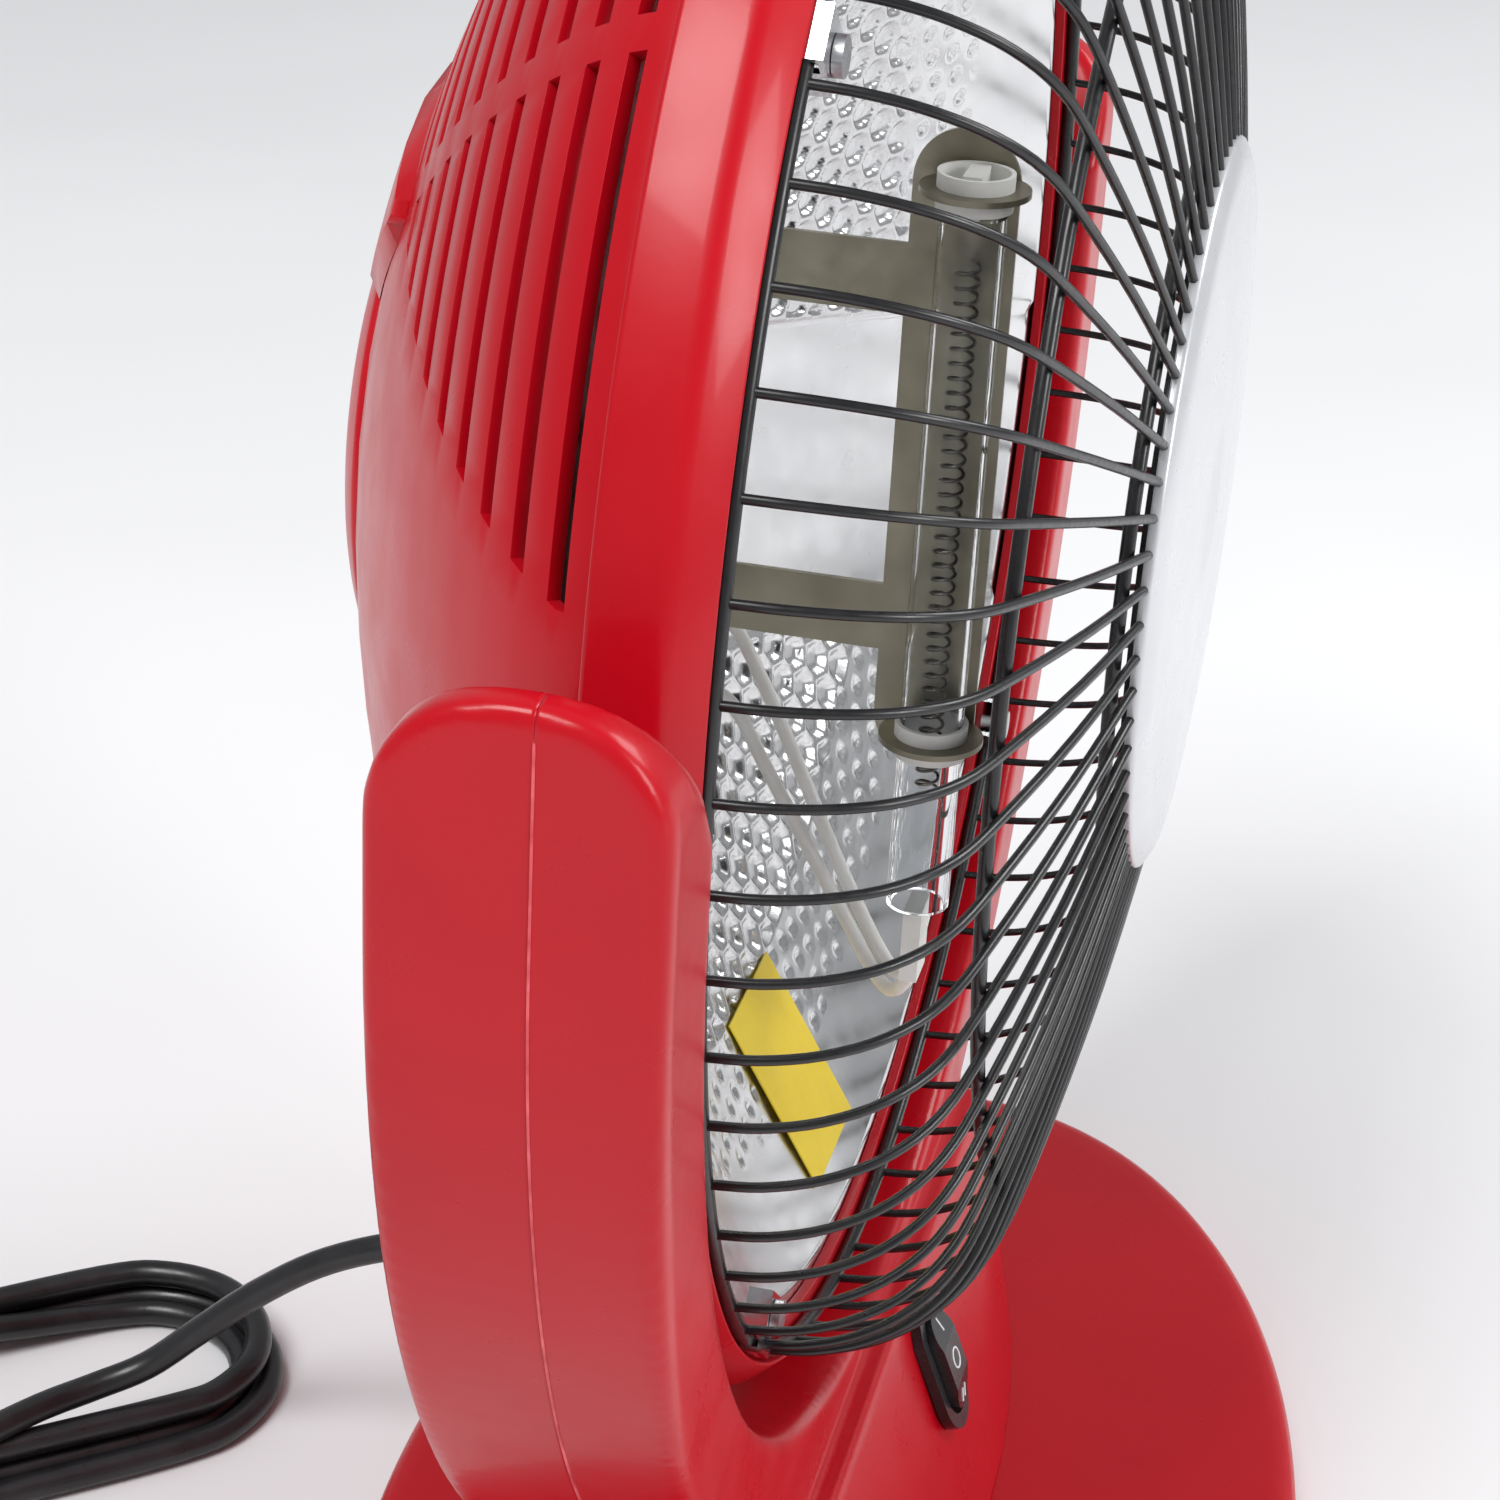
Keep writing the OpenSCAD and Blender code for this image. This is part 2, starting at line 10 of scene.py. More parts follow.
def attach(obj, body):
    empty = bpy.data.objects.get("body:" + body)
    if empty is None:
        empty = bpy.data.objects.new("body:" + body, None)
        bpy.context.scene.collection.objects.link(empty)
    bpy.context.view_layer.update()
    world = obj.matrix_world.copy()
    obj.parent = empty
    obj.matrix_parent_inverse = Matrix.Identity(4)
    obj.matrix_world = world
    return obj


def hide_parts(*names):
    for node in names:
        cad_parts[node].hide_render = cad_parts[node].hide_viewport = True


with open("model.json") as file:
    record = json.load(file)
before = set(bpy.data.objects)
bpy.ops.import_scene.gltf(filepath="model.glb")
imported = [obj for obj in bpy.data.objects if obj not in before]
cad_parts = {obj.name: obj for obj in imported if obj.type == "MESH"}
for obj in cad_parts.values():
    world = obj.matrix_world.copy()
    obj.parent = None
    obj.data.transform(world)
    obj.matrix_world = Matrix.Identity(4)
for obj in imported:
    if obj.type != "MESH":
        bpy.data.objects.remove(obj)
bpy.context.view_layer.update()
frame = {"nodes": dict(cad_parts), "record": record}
MM = 0.001
AXIS_Z = 226.0
PIVOT_Y = 12.0

# ---------------------------------------------------------------- camera
RIGHT = Vector((0.23798, -0.96997, 0.05032)).normalized()
FORWARD = Vector((0.87995, 0.19339, -0.43393)).normalized()


def make_camera():
    data = bpy.data.cameras.new("camera")
    data.lens, data.sensor_width = 79.06, 36.0
    data.clip_start, data.clip_end = 0.01, 50.0
    cam = bpy.data.objects.new("camera", data)
    bpy.context.scene.collection.objects.link(cam)
    up = RIGHT.cross(FORWARD).normalized()
    right = FORWARD.cross(up).normalized()
    turn = Matrix((right, up, -FORWARD)).transposed()
    cam.matrix_world = Matrix.Translation((-0.5038, -0.0843, 0.4187)) @ turn.to_4x4()
    bpy.context.scene.camera = cam


make_camera()


# ---------------------------------------------------------------- node materials
def new_material(name, color, rough, metal=0.0, **sockets):
    mat = bpy.data.materials.new(name)
    mat.use_nodes = True
    shader = mat.node_tree.nodes["Principled BSDF"]
    shader.inputs["Base Color"].default_value = (*color, 1)
    shader.inputs["Roughness"].default_value = rough
    shader.inputs["Metallic"].default_value = metal
    for key, value in sockets.items():
        shader.inputs[key.replace("_", " ")].default_value = value
    return mat


def add_node(mat, kind, **values):
    node = mat.node_tree.nodes.new(kind)
    for key, value in values.items():
        if key in node.inputs:
            node.inputs[key].default_value = value
        else:
            setattr(node, key, value)
    return node


def join(mat, a, out, b, into):
    mat.node_tree.links.new(a.outputs[out], b.inputs[into])


def vary(mat, low, high, scale, detail=3.0, rough=None, mix_at=(0.35, 0.7)):
    """Noise that moves the colour between low and high, and the roughness between two values."""
    shader = mat.node_tree.nodes["Principled BSDF"]
    where = add_node(mat, "ShaderNodeTexCoord")
    noise = add_node(mat, "ShaderNodeTexNoise", Scale=scale, Detail=detail)
    join(mat, where, "Object", noise, "Vector")
    ramp = add_node(mat, "ShaderNodeValToRGB")
    ramp.color_ramp.elements[0].position, ramp.color_ramp.elements[1].position = mix_at
    ramp.color_ramp.elements[0].color = (*low, 1)
    ramp.color_ramp.elements[1].color = (*high, 1)
    join(mat, noise, "Fac", ramp, "Fac")
    join(mat, ramp, "Color", shader, "Base Color")
    if rough:
        fine = add_node(mat, "ShaderNodeTexNoise", Scale=scale * 6, Detail=4.0)
        join(mat, where, "Object", fine, "Vector")
        spread = add_node(mat, "ShaderNodeMapRange")
        spread.inputs["From Min"].default_value = 0.3
        spread.inputs["From Max"].default_value = 0.7
        spread.inputs["To Min"].default_value = rough[0]
        spread.inputs["To Max"].default_value = rough[1]
        join(mat, fine, "Fac", spread, "Value")
        join(mat, spread, "Result", shader, "Roughness")
    return where


def bump(mat, where, scale, distance, strength=1.0, kind="ShaderNodeTexNoise", out="Fac", detail=2.0):
    """A fine relief from a noise or cell pattern, distance in metres."""
    shader = mat.node_tree.nodes["Principled BSDF"]
    tex = add_node(mat, kind, Scale=scale)
    if "Detail" in tex.inputs:
        tex.inputs["Detail"].default_value = detail
    join(mat, where, "Object", tex, "Vector")
    relief = add_node(mat, "ShaderNodeBump", Strength=strength, Distance=distance)
    join(mat, tex, out, relief, "Height")
    join(mat, relief, "Normal", shader, "Normal")


def make_materials():
    m = {}
    red = new_material("red_plastic", (0.46, 0.001, 0.008), 0.3,
                       Specular_IOR_Level=0.25, Coat_Weight=0.12, Coat_Roughness=0.08)
    where = vary(red, (0.43, 0.001, 0.008), (0.49, 0.002, 0.01), 14, rough=(0.26, 0.36))
    bump(red, where, 900, 0.00002, 0.35)
    m["red_gloss"] = red
    # Painted highlight: the lighter pink red stands for light caught along the parting line's edges, since
    # both halves are the same red plastic.
    seam_highlight_mat = new_material("seam_painted_highlight", (0.62, 0.05, 0.07), 0.4)
    vary(seam_highlight_mat, (0.5, 0.02, 0.03), (0.75, 0.12, 0.14), 220)
    m["seam_painted_highlight"] = seam_highlight_mat
    black = new_material("black_plastic", (0.02, 0.02, 0.022), 0.42)
    where = vary(black, (0.014, 0.014, 0.016), (0.03, 0.03, 0.032), 60, rough=(0.36, 0.5))
    bump(black, where, 1500, 0.00003, 0.5)
    m["black_plastic"] = black
    gloss = new_material("black_gloss", (0.02, 0.02, 0.022), 0.24)
    vary(gloss, (0.014, 0.014, 0.016), (0.03, 0.03, 0.032), 40, rough=(0.2, 0.32))
    m["black_gloss"] = gloss
    wire = new_material("black_wire", (0.006, 0.006, 0.007), 0.3, Coat_Weight=0.1, Coat_Roughness=0.1)
    vary(wire, (0.004, 0.004, 0.005), (0.01, 0.01, 0.011), 120, rough=(0.26, 0.38))
    m["black_wire"] = wire
    disc = new_material("silver_disc", (0.62, 0.63, 0.65), 0.3, 0.35, Coat_Weight=0.3, Coat_Roughness=0.1)
    vary(disc, (0.6, 0.61, 0.63), (0.66, 0.67, 0.69), 30, rough=(0.26, 0.36))
    m["silver_disc"] = disc
    dish = new_material("mirror_dish", (0.74, 0.74, 0.75), 0.2, 1.0)
    where = vary(dish, (0.7, 0.7, 0.71), (0.78, 0.78, 0.78), 18, rough=(0.16, 0.28))
    bump(dish, where, 120, 0.00008, 0.2)
    m["mirror_dish"] = dish
    shield = new_material("shield_metal", (0.6, 0.6, 0.62), 0.38, 1.0)
    vary(shield, (0.5, 0.5, 0.52), (0.66, 0.66, 0.68), 40, rough=(0.3, 0.5))
    m["shield_metal"] = shield
    olive = new_material("bracket_metal", (0.24, 0.22, 0.16), 0.36, 0.75)
    vary(olive, (0.2, 0.18, 0.13), (0.32, 0.3, 0.23), 50, rough=(0.3, 0.46))
    m["bracket_metal"] = olive
    chrome = new_material("chrome", (0.85, 0.86, 0.88), 0.09, 1.0)
    vary(chrome, (0.8, 0.81, 0.83), (0.9, 0.9, 0.92), 80, rough=(0.06, 0.16))
    m["chrome"] = chrome
    steel = new_material("steel", (0.55, 0.55, 0.57), 0.34, 1.0)
    vary(steel, (0.45, 0.45, 0.47), (0.62, 0.62, 0.64), 90, rough=(0.26, 0.45))
    m["steel"] = steel
    iron = new_material("iron", (0.18, 0.18, 0.18), 0.6, 0.8)
    vary(iron, (0.12, 0.12, 0.12), (0.24, 0.23, 0.22), 60, rough=(0.5, 0.7))
    m["iron"] = iron
    quartz = new_material("quartz", (0.97, 0.99, 1.0), 0.03, Transmission_Weight=1.0, IOR=1.2)
    vary(quartz, (0.95, 0.97, 0.98), (1.0, 1.0, 1.0), 90)
    m["quartz"] = quartz
    coil = new_material("filament", (0.12, 0.11, 0.1), 0.4, 0.9)
    vary(coil, (0.08, 0.07, 0.06), (0.2, 0.19, 0.17), 300, rough=(0.3, 0.5))
    m["filament"] = coil
    ceramic = new_material("white_ceramic", (0.85, 0.85, 0.82), 0.55)
    where = vary(ceramic, (0.78, 0.78, 0.74), (0.88, 0.88, 0.85), 120, rough=(0.5, 0.65))
    bump(ceramic, where, 1500, 0.00004, 0.5)
    m["white_ceramic"] = ceramic
    sleeve = new_material("white_silicone", (0.86, 0.86, 0.83), 0.45, Subsurface_Weight=0.1)
    vary(sleeve, (0.8, 0.8, 0.76), (0.9, 0.9, 0.88), 120, rough=(0.4, 0.55))
    m["white_silicone"] = sleeve
    ivory = new_material("ivory_plastic", (0.75, 0.72, 0.62), 0.45)
    vary(ivory, (0.7, 0.67, 0.56), (0.8, 0.77, 0.68), 60, rough=(0.4, 0.55))
    m["ivory_plastic"] = ivory
    label = new_material("yellow_label", (0.82, 0.6, 0.01), 0.4)
    vary(label, (0.78, 0.56, 0.008), (0.86, 0.64, 0.02), 70, rough=(0.34, 0.5))
    m["yellow_label"] = label
    ink = new_material("label_ink", (0.03, 0.03, 0.03), 0.5)
    vary(ink, (0.02, 0.02, 0.02), (0.05, 0.05, 0.05), 300)
    m["label_ink"] = ink
    foot = new_material("rubber_foot", (0.025, 0.025, 0.025), 0.75)
    where = vary(foot, (0.018, 0.018, 0.018), (0.035, 0.035, 0.035), 120, rough=(0.68, 0.82))
    bump(foot, where, 1800, 0.00005, 0.6)
    m["rubber_foot"] = foot
    pvc = new_material("cord_pvc", (0.015, 0.015, 0.016), 0.33)
    where = vary(pvc, (0.01, 0.01, 0.011), (0.022, 0.022, 0.024), 50, rough=(0.26, 0.42))
    bump(pvc, where, 700, 0.00004, 0.4)
    m["cord_pvc"] = pvc
    mark = new_material("white_mark", (0.8, 0.8, 0.8), 0.5)
    vary(mark, (0.72, 0.72, 0.72), (0.84, 0.84, 0.84), 300)
    m["white_mark"] = mark
    return m


MAT = make_materials()
SLOT_OF_NODE = {s["node"]: s["material_slot"] for s in frame["record"]["subparts"]}


# ---------------------------------------------------------------- mesh helpers
def put(name, mesh_or_curve, body, mat, slot, *nodes, smooth=True):
    """Adds a finished piece: its material, its body and the CAD nodes it stands for; slot is not used."""
    obj = bpy.data.objects.new(name, mesh_or_curve)
    bpy.context.scene.collection.objects.link(obj)
    obj.data.materials.clear()
    obj.data.materials.append(MAT[mat])
    if smooth and obj.type == "MESH":
        obj.data.polygons.foreach_set("use_smooth", [True] * len(obj.data.polygons))
    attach(obj, body)
    if nodes:
        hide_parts(*nodes)
    return obj


def mesh_from(verts_mm, faces, name="mesh"):
    mesh = bpy.data.meshes.new(name)
    mesh.from_pydata([(x * MM, y * MM, z * MM) for x, y, z in verts_mm], [], faces)
    mesh.validate()
    mesh.update()
    return mesh


def strip(i, n):
    """The faces between ring i and the next one, in rings of n points."""
    return [(i * n + k, i * n + (k + 1) % n, (i + 1) * n + (k + 1) % n, (i + 1) * n + k) for k in range(n)]


def fix_normals(mesh):
    bm = bmesh.new()
    bm.from_mesh(mesh)
    bmesh.ops.remove_doubles(bm, verts=bm.verts, dist=1e-6)
    bmesh.ops.recalc_face_normals(bm, faces=bm.faces)
    bm.to_mesh(mesh)
    bm.free()
    return mesh


def on_head(r, y, degrees):
    """A point at radius r about the head's axis, at depth y. 0 degrees is +X and 90 is up."""
    a = math.radians(degrees)
    return (r * math.cos(a), y, AXIS_Z + r * math.sin(a))


def rounded(profile, radius, steps=3):
    """Closed profile with its corners rounded."""
    out = []
    n = len(profile)
    for i in range(n):
        p, a, b = (Vector(profile[j % n]) for j in (i, i - 1, i + 1))
        r = profile[i][2] if len(profile[i]) > 2 else radius
        p, a, b = p.xy, a.xy, b.xy
        da, db = (a - p), (b - p)
        cut = min(r, da.length * 0.45, db.length * 0.45)
        s, e = p + da.normalized() * cut, p + db.normalized() * cut
        if cut < 0.02:
            out.append(tuple(p))
            continue
        for k in range(steps + 1):
            t = k / steps
            q = (1 - t) ** 2 * s + 2 * t * (1 - t) * p + t * t * e
            out.append(tuple(q))
    return out


def lathe(profile, segments=192, name="lathe"):
    """Turns a closed (radius, depth) profile about the head's axis."""
    verts, faces = [], []
    n = len(profile)
    for k in range(segments):
        a = 360.0 * k / segments
        verts += [on_head(r, y, a) for r, y in profile]
    for k in range(segments):
        m = (k + 1) % segments
        for i in range(n):
            j = (i + 1) % n
            faces.append((k * n + i, k * n + j, m * n + j, m * n + i))
    return fix_normals(mesh_from(verts, faces, name))


def tube_curve(name, lines, radius_mm, closed=False, resolution=3):
    """A curve object's data: each line of points becomes a round wire."""
    curve = bpy.data.curves.new(name, "CURVE")
    curve.dimensions = "3D"
    curve.bevel_depth = radius_mm * MM
    curve.bevel_resolution = resolution
    curve.use_fill_caps = True
    for line in lines:
        spline = curve.splines.new("POLY")
        spline.points.add(len(line) - 1)
        for point, co in zip(spline.points, line):
            point.co = (co[0] * MM, co[1] * MM, co[2] * MM, 1)
        spline.use_cyclic_u = closed
        spline.use_smooth = True
    return curve


def catmull(points, steps):
    """A smooth curve through the points."""
    out = []
    p = [Vector(q) for q in points]
    for i in range(len(p) - 1):
        a, b, c, d = p[max(i - 1, 0)], p[i], p[i + 1], p[min(i + 2, len(p) - 1)]
        for j in range(steps):
            t = j / steps
            out.append(0.5 * (2 * b + (c - a) * t + (2 * a - 5 * b + 4 * c - d) * t * t
                              + (3 * b - a - 3 * c + d) * t ** 3))
    out.append(p[-1])
    return out


# ---------------------------------------------------------------- mains cord
CORD_D = 5.6
HANK_CENTRE = (10.0, 150.0)
HANK_TURN = math.radians(130.5)
HANK_RUN = 110.0
TIE_AT = 42.0
LEAD = [(0, 60.1, 57), (0, 68, 57), (0, 80, 56.2), (0, 93, 52.5), (0, 107, 45.5), (-1, 120, 36),
        (-2, 131, 26), (-5, 141, 17.5), (-11, 150, 14.4), (-20, 157.5, 14.1)]
TAIL = [(-43, 253.5, 3), (-39, 249, 3), (-34, 245.3, 3.6), (-28, 242.6, 5), (-22, 241.2, 6.8),
        (-17, 241, 7.6)]


def in_hank(u, v, z):
    """u along the hank's runs, v across them."""
    c, s = math.cos(HANK_TURN), math.sin(HANK_TURN)
    return (HANK_CENTRE[0] + u * c - v * s, HANK_CENTRE[1] + u * s + v * c, z)


def hank_points():
    wide, tight, top, low = 27.0, 21.3, 8.8, 2.95
    out = []

    def end_cap(at, start, r0, r1, z0, z1, hold=0.0):
        """Half a turn round one end, from radius r0 to r1 once the share hold has passed."""
        for k in range(1, 6):
            t = k / 6
            w = min(max((t - hold) / (1 - hold), 0), 1)
            a = math.radians(start - 180 * t)
            r = r0 + (r1 - r0) * w
            out.append(in_hank(at + r * math.cos(a), r * math.sin(a), z0 + (z1 - z0) * min(t * 2, 1)))

    def run(*points):
        out.extend(in_hank(*p) for p in points)

    end = HANK_RUN
    run((40, 22.6, 13.9), (55, 26.4, 12.2), (72, 27.2, 9.6), (90, wide, top), (end, wide, top))
    end_cap(end, 90, wide, wide, top, top)
    run((end, -wide, top), (75, -wide - 0.4, top), (38, -wide - 0.2, top), (0, -wide, top))
    end_cap(0, -90, wide, tight, top, top, hold=0.3)
    run((0, tight, top), (36, tight - 0.4, top), (74, tight - 0.2, top), (end, tight, top))
    end_cap(end, 90, tight, tight, top, top)
    run((end, -tight, top), (75, -tight, top), (42, -tight, 8.5), (18, -tight, 5.6), (0, -tight, 3.4))
    end_cap(0, -90, tight, tight, 3.2, low)
    run((0, tight, low), (36, tight, low), (74, tight, low), (end, tight, low))
    end_cap(end, 90, tight, tight, low, low)
    run((end, -tight, low), (82, -22.4, low), (50, -25.4, low), (20, -wide, low), (0, -wide, low))
    end_cap(0, -90, wide, wide, low, low)
    run((0, wide, low), (36, wide + 0.3, low), (74, wide + 0.2, low), (end, wide, low))
    end_cap(end, 90, wide, wide, low, low)
    out.pop()
    return out


def make_cord():
    line = catmull(LEAD + hank_points() + TAIL, 5)
    cord = put("mains_cord", tube_curve("mains_cord", [line], CORD_D / 2, resolution=5), "stand",
               "cord_pvc", "cord_pvc", "cord_lead", "cord_hank", "cord_tail")
    tie = [in_hank(TIE_AT, v, z) for v, z in tie_outline()]
    put("hank_tie", tube_curve("hank_tie", [tie], 0.9, closed=True), "stand",
        "black_plastic", "black_plastic")


def tie_outline():
    """Round the hank's near run, seen along the run."""
    lo, hi, y0, y1 = 18.0, 31.0, 0.95, 13.0
    return [(lo, y0), (hi, y0), (hi + 0.4, 4), (hi + 0.4, 9), (hi - 2, 12.4), (lo + 2, y1),
            (lo - 0.4, 10), (lo - 0.4, 3)]


make_cord()


# ---------------------------------------------------------------- stand
BASE_A, BASE_B = 155.5, 86.6


def make_base():
    rim = [(-5.0, 2.0), (-0.6, 2.0), (0.0, 2.6), (0.0, 10.6), (-0.3, 12.0), (-1.2, 13.2), (-2.6, 13.9),
           (-4.6, 14.2)]
    inner = [(0.93, 14.3), (0.84, 14.38), (0.7, 14.43), (0.5, 14.47), (0.3, 14.49)]
    n = 240
    verts, faces = [], []
    rows = [[(BASE_A + d, BASE_B + d, z)] for d, z in rim] + [[(BASE_A * f, BASE_B * f, z)] for f, z in inner]
    for row in rows:
        a, b, z = row[0]
        verts += [(a * math.cos(2 * math.pi * k / n), b * math.sin(2 * math.pi * k / n), z) for k in range(n)]
    for i in range(len(rows) - 1):
        faces += strip(i, n)
    faces.append(tuple((len(rows) - 1) * n + k for k in range(n)))
    faces.append(tuple(k for k in reversed(range(n))))
    put("base_cover", fix_normals(mesh_from(verts, faces)), "stand", "red_gloss", "red_gloss", "base_shell")


YOKE_R, YOKE_IN, YOKE_LO, YOKE_HI, ARM_TOP = 180.0, 158.0, -5.0, 33.5, 34.0
MOUND_LO = -9.5


def yoke_section(n_in, n_out, lo, hi, r=2.4):
    """Rounded rectangle as (outward, depth) points, always the same count."""
    out = []
    corners = ((n_out - r, hi - r, 0), (n_in + r, hi - r, 90),
               (n_in + r, lo + r, 180), (n_out - r, lo + r, 270))
    for cx, cy, a0 in corners:
        for k in range(5):
            a = math.radians(a0 + 90 * k / 4)
            out.append((cx + r * math.cos(a), cy + r * math.sin(a)))
    return out


def yoke_loop():
    """Stations from one arm's top, round below the head, to the other arm's top."""
    stations = []
    for h in (34, 33.6, 32.8, 31.6, 30, 28, 25, 22, 19, 16, 13, 10, 6, 3):
        side = 17 - math.sqrt(max(17 ** 2 - max(h - 17, 0) ** 2, 0))
        edge = 2.4 - math.sqrt(max(2.4 ** 2 - max(h - ARM_TOP + 2.4, 0) ** 2, 0))
        thin = max(h - 10, 0) * 16 / 24
        stations.append((h, side + edge * 0.6, edge, thin))
    rows = []
    for h, s, e, t in stations:
        section = yoke_section(YOKE_IN + t + e * 0.3, YOKE_R - e * 0.7, YOKE_LO + s, YOKE_HI - s)
        rows.append([(180, h, y, n) for n, y in section])
    section = yoke_section(YOKE_IN, YOKE_R, YOKE_LO, YOKE_HI)
    arc = [[(180 + 1.5 * k, 0, y, n) for n, y in section] for k in range(121)]
    other = [[(360, h, y, n) for (_, h, y, n) in row] for row in reversed(rows)]
    return rows + arc + other


def build_yoke_solid():
    rings = yoke_loop()
    n = len(rings[0])
    verts, faces = [], []
    for ring in rings:
        for a, h, y, r in ring:
            verts.append((r * math.cos(math.radians(a)), y, AXIS_Z + r * math.sin(math.radians(a)) + h))
    for i in range(len(rings) - 1):
        faces += strip(i, n)
    faces += [tuple(range(n)), tuple((len(rings) - 1) * n + k for k in reversed(range(n)))]
    return fix_normals(mesh_from(verts, faces, "yoke"))


def build_mound():
    pts = [(102 * math.cos(t), 28.5 * math.sin(t), 14.3) for t in [2 * math.pi * k / 96 for k in range(96)]]
    pts += [(x, y, z) for x in (-74, 74) for y in (MOUND_LO, YOKE_HI) for z in (64, 65)]
    pts += [(x, y, 14.3) for x in (-90, 90) for y in (0, YOKE_HI)]
    bm = bmesh.new()
    for p in pts:
        bm.verts.new([c * MM for c in p])
    bmesh.ops.convex_hull(bm, input=bm.verts)
    loose = [v for v in bm.verts if not v.link_faces]
    bmesh.ops.delete(bm, geom=loose, context="VERTS")
    mesh = bpy.data.meshes.new("mound")
    bm.to_mesh(mesh)
    bm.free()
    return mesh


def applied(obj):
    """The object's mesh with its modifiers applied; the object itself is removed."""
    graph = bpy.context.evaluated_depsgraph_get()
    mesh = bpy.data.meshes.new_from_object(obj.evaluated_get(graph))
    bpy.data.objects.remove(obj)
    return mesh


def scratch(mesh):
    obj = bpy.data.objects.new("scratch", mesh)
    bpy.context.scene.collection.objects.link(obj)
    return obj


def cylinder_along_y(r, y0, y1, x=0.0, z=AXIS_Z, sides=256):
    bm = bmesh.new()
    place = Matrix.Translation((x * MM, (y0 + y1) / 2 * MM, z * MM)) @ Matrix.Rotation(math.pi / 2, 4, "X")
    bmesh.ops.create_cone(bm, cap_ends=True, segments=sides, radius1=r * MM, radius2=r * MM,
                          depth=(y1 - y0) * MM, matrix=place)
    mesh = bpy.data.meshes.new("cylinder")
    bm.to_mesh(mesh)
    bm.free()
    return mesh


def half_of(mesh, y, keep_front):
    half = mesh.copy()
    bm = bmesh.new()
    bm.from_mesh(half)
    cut = bmesh.ops.bisect_plane(bm, geom=bm.verts[:] + bm.edges[:] + bm.faces[:], plane_co=(0, y * MM, 0),
                                 plane_no=(0, 1, 0), clear_outer=keep_front, clear_inner=not keep_front)
    edges = [e for e in cut["geom_cut"] if isinstance(e, bmesh.types.BMEdge)]
    bmesh.ops.holes_fill(bm, edges=edges, sides=0)
    bmesh.ops.triangulate(bm, faces=[f for f in bm.faces if len(f.verts) > 4])
    bm.to_mesh(half)
    bm.free()
    return half


def make_yoke():
    mound = scratch(build_mound())
    cutter = scratch(cylinder_along_y(YOKE_IN, -60, 60))
    cut = mound.modifiers.new("cut", "BOOLEAN")
    cut.operation, cut.object, cut.solver = "DIFFERENCE", cutter, "EXACT"
    mound_mesh = applied(mound)
    bpy.data.objects.remove(cutter)
    bm = bmesh.new()
    bm.from_mesh(build_yoke_solid())
    bm.from_mesh(mound_mesh)
    both = bpy.data.meshes.new("yoke_solid")
    bm.to_mesh(both)
    bm.free()
    whole = scratch(both)
    grid = whole.modifiers.new("grid", "REMESH")
    grid.mode, grid.voxel_size, grid.use_smooth_shade = "VOXEL", 1.1 * MM, True
    soft = whole.modifiers.new("soft", "SMOOTH")
    soft.factor, soft.iterations = 0.5, 5
    mesh = applied(whole)
    put("yoke_front", half_of(mesh, 12.0, True), "stand", "red_gloss", "red_gloss", "yoke_front_shell")
    put("yoke_rear", half_of(mesh, 12.06, False), "stand", "red_gloss", "red_gloss", "yoke_rear_shell")
    line = [on_head(YOKE_R, PIVOT_Y, a) for a in range(180, 361, 2)]
    arm = [(0, 29), (0, 20), (0, 10)]
    left = [(-YOKE_R + 0.6, 12, AXIS_Z + 32.6)] + [(-YOKE_R, 12, AXIS_Z + h) for _, h in arm]
    right = [(YOKE_R, 12, AXIS_Z + h) for _, h in reversed(arm)] + [(YOKE_R - 0.6, 12, AXIS_Z + 32.6)]
    shown = [p for p in left + line + right if abs(p[0]) > 60 or p[2] > 100]
    split = max(range(1, len(shown)), key=lambda i: abs(shown[i][0] - shown[i - 1][0]))
    inset = [[(x * (1 - 0.13 / YOKE_R), y, z) for x, y, z in part] for part in (shown[:split], shown[split:])]
    # The parting line is drawn in the lighter seam colour, a painted highlight along the seam.
    put("parting_line", tube_curve("parting_line", inset, 0.28, resolution=1), "stand",
        "seam_painted_highlight", "red_gloss")


make_base()
make_yoke()


# ---------------------------------------------------------------- drum
COVER_R, BAND_D, DOME_D, DOME_N = 148.0, 15.5, 75.0, 1.5


def dome_r(y):
    t = max(min((y - BAND_D) / DOME_D, 1), 0)
    return COVER_R * (1 - t ** DOME_N) ** (1 / DOME_N)


def slot_y(i):
    return 20.7 + 6.9 * i - 0.2 * i * i


def belt_at(y):
    """Half height of the plain belt at depth y; it widens towards the back."""
    i = (6.9 - math.sqrt(max(6.9 ** 2 - 0.8 * (y - 20.7), 0))) / 0.4
    return 30 + 2.7 * max(i, 0)


